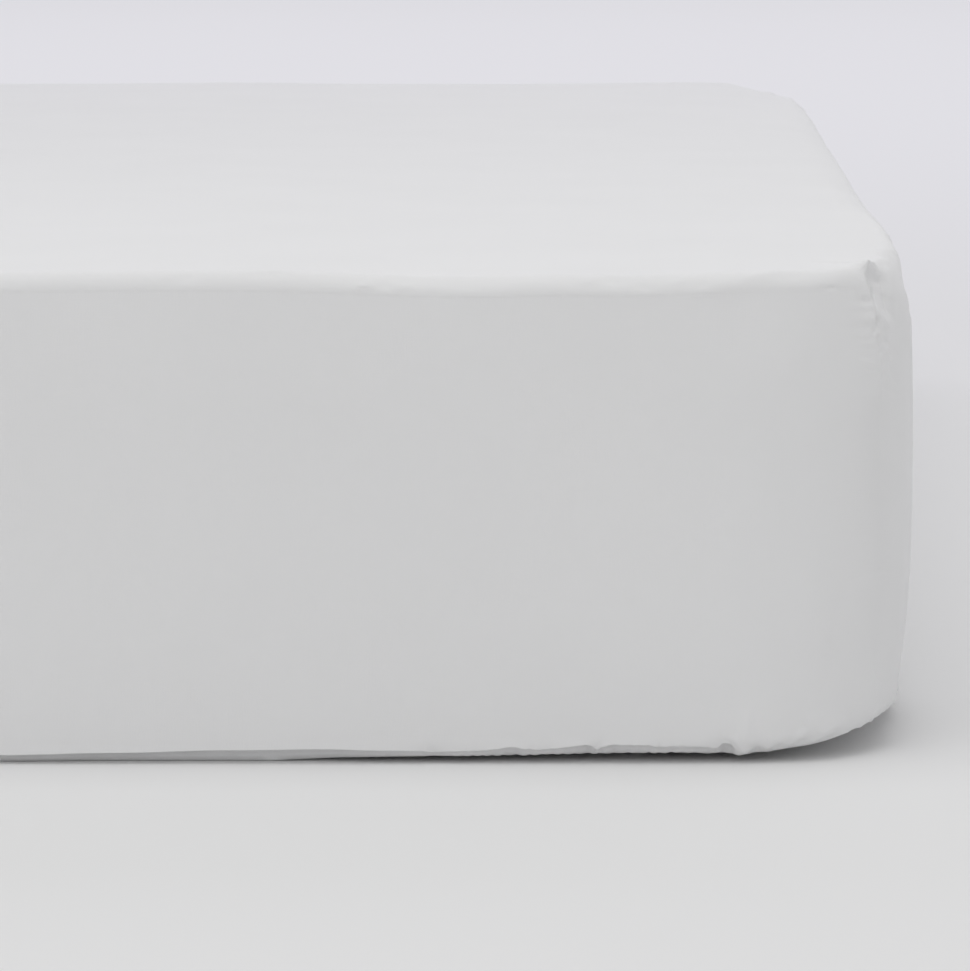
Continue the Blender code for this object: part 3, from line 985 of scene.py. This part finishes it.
def make_piece(name, mesh, material):
    """A smooth-shaded object that rides on the part's body."""
    data = bpy.data.meshes.new(name)
    mesh.to_mesh(data)
    mesh.free()
    data.shade_smooth()
    data.materials.append(material)
    piece = bpy.data.objects.new(name, data)
    bpy.context.scene.collection.objects.link(piece)
    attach(piece, "root")
    return piece


# ------------ materials


class Nodes:
    """Short helpers to build one material's node tree."""

    def __init__(self, name):
        self.material = bpy.data.materials.new(name)
        self.material.use_nodes = True
        self.tree = self.material.node_tree
        self.shader = self.tree.nodes["Principled BSDF"]

    def add(self, kind, **settings):
        node = self.tree.nodes.new("ShaderNode" + kind)
        for key, value in settings.items():
            setattr(node, key, value)
        return node

    def link(self, source, target):
        self.tree.links.new(source, target)

    def math(self, operation, first, second=None):
        """A math node; each operand is a number or another node's output."""
        node = self.add("Math", operation=operation)
        for socket, value in zip(node.inputs, (first, second)):
            if value is None:
                continue
            if isinstance(value, (int, float)):
                socket.default_value = value
            else:
                self.link(value, socket)
        return node.outputs[0]

    def noise(self, coordinates, scale, detail=2.0, stretch=(1, 1, 1)):
        """Noise over the coordinates, stretched along some axes."""
        mapping = self.add("Mapping")
        mapping.inputs["Scale"].default_value = stretch
        self.link(coordinates, mapping.inputs["Vector"])
        node = self.add("TexNoise")
        node.inputs["Scale"].default_value = scale
        node.inputs["Detail"].default_value = detail
        self.link(mapping.outputs[0], node.inputs["Vector"])
        return node.outputs["Fac"]

    def ramp(self, factor, low, high):
        """A colour between two others."""
        node = self.add("Mix", data_type="RGBA")
        self.link(factor, node.inputs["Factor"])
        node.inputs["A"].default_value = low
        node.inputs["B"].default_value = high
        return node.outputs["Result"]

    def bump(self, height, distance, strength, below=None):
        """A bump node over another one's normal."""
        node = self.add("Bump")
        node.inputs["Distance"].default_value = distance
        node.inputs["Strength"].default_value = strength
        self.link(height, node.inputs["Height"])
        if below is not None:
            self.link(below, node.inputs["Normal"])
        return node.outputs["Normal"]


# Cotton: the pitch of its threads, their relief and that of the thicker ones, and its two whites
THREAD_PITCH = 0.00042
THREAD_RELIEF = 0.00006
SLUB_RELIEF = 0.00012
SLUB_SCALE = 60
SLUB_STRETCH = 18
COTTON_MOTTLE = 9
COTTON_COLOURS = ((0.845, 0.845, 0.85, 1), (0.875, 0.875, 0.88, 1))

# Ticking: the pitch, slant and relief of its twill, and its two whites
TWILL_PITCH = 0.0016
TWILL_SLANT = 0.6
TWILL_RELIEF = 0.0002
TICKING_MOTTLE = 14
TICKING_COLOURS = ((0.78, 0.78, 0.765, 1), (0.82, 0.82, 0.81, 1))


def cloth_axes(nodes):
    """The cloth's flat coordinates together, and each of the two alone."""
    flat = nodes.add("UVMap", uv_map=CLOTH_MAP).outputs["UV"]
    axes = nodes.add("SeparateXYZ")
    nodes.link(flat, axes.inputs[0])
    return flat, axes.outputs["X"], axes.outputs["Y"]


def plain_weave(nodes, u, v, pitch):
    """Height of a plain weave: warp and weft threads that pass over each other in turn."""
    across = nodes.math("MULTIPLY", u, math.pi / pitch)
    up = nodes.math("MULTIPLY", v, math.pi / pitch)
    warp = nodes.math("ABSOLUTE", nodes.math("SINE", across))
    weft = nodes.math("ABSOLUTE", nodes.math("SINE", up))
    turn = nodes.math("MULTIPLY", nodes.math("SINE", across), nodes.math("SINE", up))
    over = nodes.math("GREATER_THAN", turn, 0.0)
    warp_part = nodes.math("MULTIPLY", warp, over)
    weft_part = nodes.math("MULTIPLY", weft, nodes.math("SUBTRACT", 1.0, over))
    return nodes.math("ADD", warp_part, weft_part)


def cotton():
    """White plain-woven cotton: fine threads, a few thicker ones, and the faintest mottling."""
    nodes = Nodes("sheet_cotton_finish")
    flat, u, v = cloth_axes(nodes)
    weave = plain_weave(nodes, u, v, THREAD_PITCH)
    warp_slubs = nodes.noise(flat, SLUB_SCALE, 3.0, (SLUB_STRETCH, 1, 1))
    weft_slubs = nodes.noise(flat, SLUB_SCALE, 3.0, (1, SLUB_STRETCH, 1))
    slubs = nodes.math("ADD", warp_slubs, weft_slubs)
    mottle = nodes.noise(flat, COTTON_MOTTLE, 4.0)
    colour = nodes.ramp(mottle, *COTTON_COLOURS)
    nodes.link(colour, nodes.shader.inputs["Base Color"])
    rough = nodes.math("ADD", nodes.math("MULTIPLY", slubs, 0.08), 0.78)
    nodes.link(rough, nodes.shader.inputs["Roughness"])
    nodes.shader.inputs["Specular IOR Level"].default_value = 0.25
    nodes.shader.inputs["Sheen Weight"].default_value = 0.12
    nodes.shader.inputs["Sheen Roughness"].default_value = 0.45
    threads = nodes.bump(weave, THREAD_RELIEF, 0.5)
    uneven = nodes.bump(slubs, SLUB_RELIEF, 0.35, threads)
    nodes.link(uneven, nodes.shader.inputs["Normal"])
    return nodes.material


def ticking():
    """Off-white mattress ticking with a fine slanted twill."""
    nodes = Nodes("mattress_ticking_finish")
    flat, u, v = cloth_axes(nodes)
    slant = nodes.math("ADD", u, nodes.math("MULTIPLY", v, TWILL_SLANT))
    turns = nodes.math("MULTIPLY", slant, math.pi / TWILL_PITCH)
    twill = nodes.math("ABSOLUTE", nodes.math("SINE", turns))
    mottle = nodes.noise(flat, TICKING_MOTTLE, 3.0)
    colour = nodes.ramp(mottle, *TICKING_COLOURS)
    nodes.link(colour, nodes.shader.inputs["Base Color"])
    nodes.shader.inputs["Roughness"].default_value = 0.92
    nodes.shader.inputs["Specular IOR Level"].default_value = 0.2
    nodes.link(nodes.bump(twill, TWILL_RELIEF, 0.5), nodes.shader.inputs["Normal"])
    return nodes.material


# ------------ the pieces

MATTRESS_ROWS = (
    0.62, 0.50, 0.40, 0.34, 0.31, 0.295, 0.287, 0.281, 0.275, 0.269, 0.262, 0.24, 0.20, 0.16,
    0.12, 0.08, 0.05, 0.035, 0.026, 0.018, 0.011, 0.005, -0.001, -0.007, -0.02, -0.05, -0.075,
)
SEAT_ROW = 0.075
MATTRESS_END = -0.16
SEAT_STEPS = 6


def mattress_point(place, height):
    """The form inside the cloth, which steps down to its flat seat within the hem."""
    if height >= -SEAT_ROW:
        return smooth_point(place, height, MATTRESS_DEPTH)[0]
    start = smooth_point(place, -SEAT_ROW, MATTRESS_DEPTH)[0]
    seat, _ = outline_point(CORNERS[place.number], place.along, SEAT_INSET, HEM_RADIUS)
    share = smooth_step(-height, SEAT_ROW, -MATTRESS_END)
    return start.lerp(seat, share)


def make_sheet():
    """The fitted sheet: one closed thin shell, from the crown down to the hem and back inside."""
    flat = flat_grid(OUTER_ROWS + INNER_ROWS)
    refine(flat)

    def point_of(place, height):
        if height >= HEM:
            return cloth_point(place, height)
        return inner_point(place, height)

    raise_mesh(flat, point_of)
    close_ends(flat)
    sheet = make_piece("sheet_cloth", flat, cotton())
    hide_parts("fitted_sheet")
    return sheet


def make_mattress():
    """The mattress form, whose seat shows inside the hem from below."""
    seat_run = MATTRESS_END + SEAT_ROW
    seat_rows = tuple(-SEAT_ROW + seat_run * step / SEAT_STEPS for step in range(1, SEAT_STEPS + 1))
    flat = flat_grid(MATTRESS_ROWS + seat_rows)
    raise_mesh(flat, mattress_point)
    close_ends(flat)
    mattress = make_piece("mattress_form", flat, ticking())
    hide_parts("mattress")
    return mattress


# ------------ floor and light

FLOOR_HALF = 30.0
FLOOR_COLOUR = (0.83, 0.83, 0.83, 1)
FLOOR_ROUGHNESS = 0.9
WORLD_STRENGTH = 0.53
WHITE = (1.0, 1.0, 1.0)
LAVENDER = (1.02, 1.0, 1.14)

# Soft lights: where each hangs, what it faces, its sides in metres, its power and its colour
SoftLight = namedtuple("SoftLight", "name position target size power colour")
SOFT_LIGHTS = (
    SoftLight("overhead", (0.0, -1.6, 2.8), (0.0, -1.6, 0.0), (3.0, 2.6), 27.5, WHITE),
    SoftLight("front_left", (-2.2, -4.6, 2.0), (0.1, -1.0, 0.1), (2.4, 2.0), 12.5, WHITE),
    SoftLight("right_floor", (1.6, 0.3, 1.5), (1.6, 0.3, 0.0), (1.2, 1.6), 2.0, WHITE),
    SoftLight("far_floor", (0.0, 7.4, 2.4), (0.0, 7.4, 0.0), (13.0, 12.3), 203, LAVENDER),
)


def plain_material(name, colour, roughness):
    """A plain matt surface for the stage."""
    material = bpy.data.materials.new(name)
    material.use_nodes = True
    shader = material.node_tree.nodes["Principled BSDF"]
    shader.inputs["Base Color"].default_value = colour
    shader.inputs["Roughness"].default_value = roughness
    shader.inputs["Specular IOR Level"].default_value = 0.2
    return material


def make_floor():
    """A plain pale floor that fills the view behind the mattress."""
    floor_mesh = bmesh.new()
    corners = [(-1, -1, 0), (1, -1, 0), (1, 1, 0), (-1, 1, 0)]
    floor_mesh.faces.new([floor_mesh.verts.new(Vector(corner) * FLOOR_HALF) for corner in corners])
    data = bpy.data.meshes.new("pale_floor")
    floor_mesh.to_mesh(data)
    floor_mesh.free()
    data.materials.append(plain_material("pale_floor", FLOOR_COLOUR, FLOOR_ROUGHNESS))
    floor = bpy.data.objects.new("pale_floor", data)
    bpy.context.scene.collection.objects.link(floor)
    floor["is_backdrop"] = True


def make_light(soft):
    """A soft rectangular light that faces its target."""
    data = bpy.data.lights.new(soft.name, "AREA")
    data.shape = "RECTANGLE"
    data.size, data.size_y = soft.size
    data.energy = soft.power
    data.color = soft.colour
    light = bpy.data.objects.new(soft.name, data)
    light.location = soft.position
    aim = Vector(soft.target) - Vector(soft.position)
    light.rotation_euler = aim.to_track_quat("-Z", "Y").to_euler()
    bpy.context.scene.collection.objects.link(light)


def light_scene():
    """Pale surroundings and the soft lights, shown without a tone curve so that white stays white."""
    bpy.context.scene.view_settings.view_transform = "Standard"
    world = bpy.data.worlds.new("pale_room")
    world.use_nodes = True
    background = world.node_tree.nodes["Background"]
    background.inputs["Color"].default_value = (1, 1, 1, 1)
    background.inputs["Strength"].default_value = WORLD_STRENGTH
    bpy.context.scene.world = world
    for soft in SOFT_LIGHTS:
        make_light(soft)


# Camera: the photograph's place and lens, turned a little towards the bed's middle
CAMERA_AT = (0.2834, -3.80, 0.5301)
CAMERA_PITCH = 7.563
CAMERA_YAW = -1.528
CAMERA_ROLL = -0.261
CAMERA_LENS = 188.75
SENSOR_WIDTH = 36.0


def make_camera():
    """The camera at the photograph's viewing angle, level but for a slight lean."""
    data = bpy.data.cameras.new("photo_camera")
    data.lens = CAMERA_LENS
    data.sensor_width = SENSOR_WIDTH
    camera = bpy.data.objects.new("photo_camera", data)
    bpy.context.scene.collection.objects.link(camera)
    turn = Matrix.Rotation(math.radians(-CAMERA_YAW), 4, "Z")
    tip = Matrix.Rotation(math.radians(90 - CAMERA_PITCH), 4, "X")
    lean = Matrix.Rotation(math.radians(CAMERA_ROLL), 4, "Z")
    camera.matrix_world = Matrix.Translation(CAMERA_AT) @ turn @ tip @ lean
    bpy.context.scene.camera = camera


def main():
    """Makes the pieces and the stage."""
    made_sheet = make_sheet()
    made_mattress = make_mattress()
    make_floor()
    light_scene()
    make_camera()
    boxes = [[list(corner) for corner in box] for box in (CAD_BOX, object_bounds())]


main()
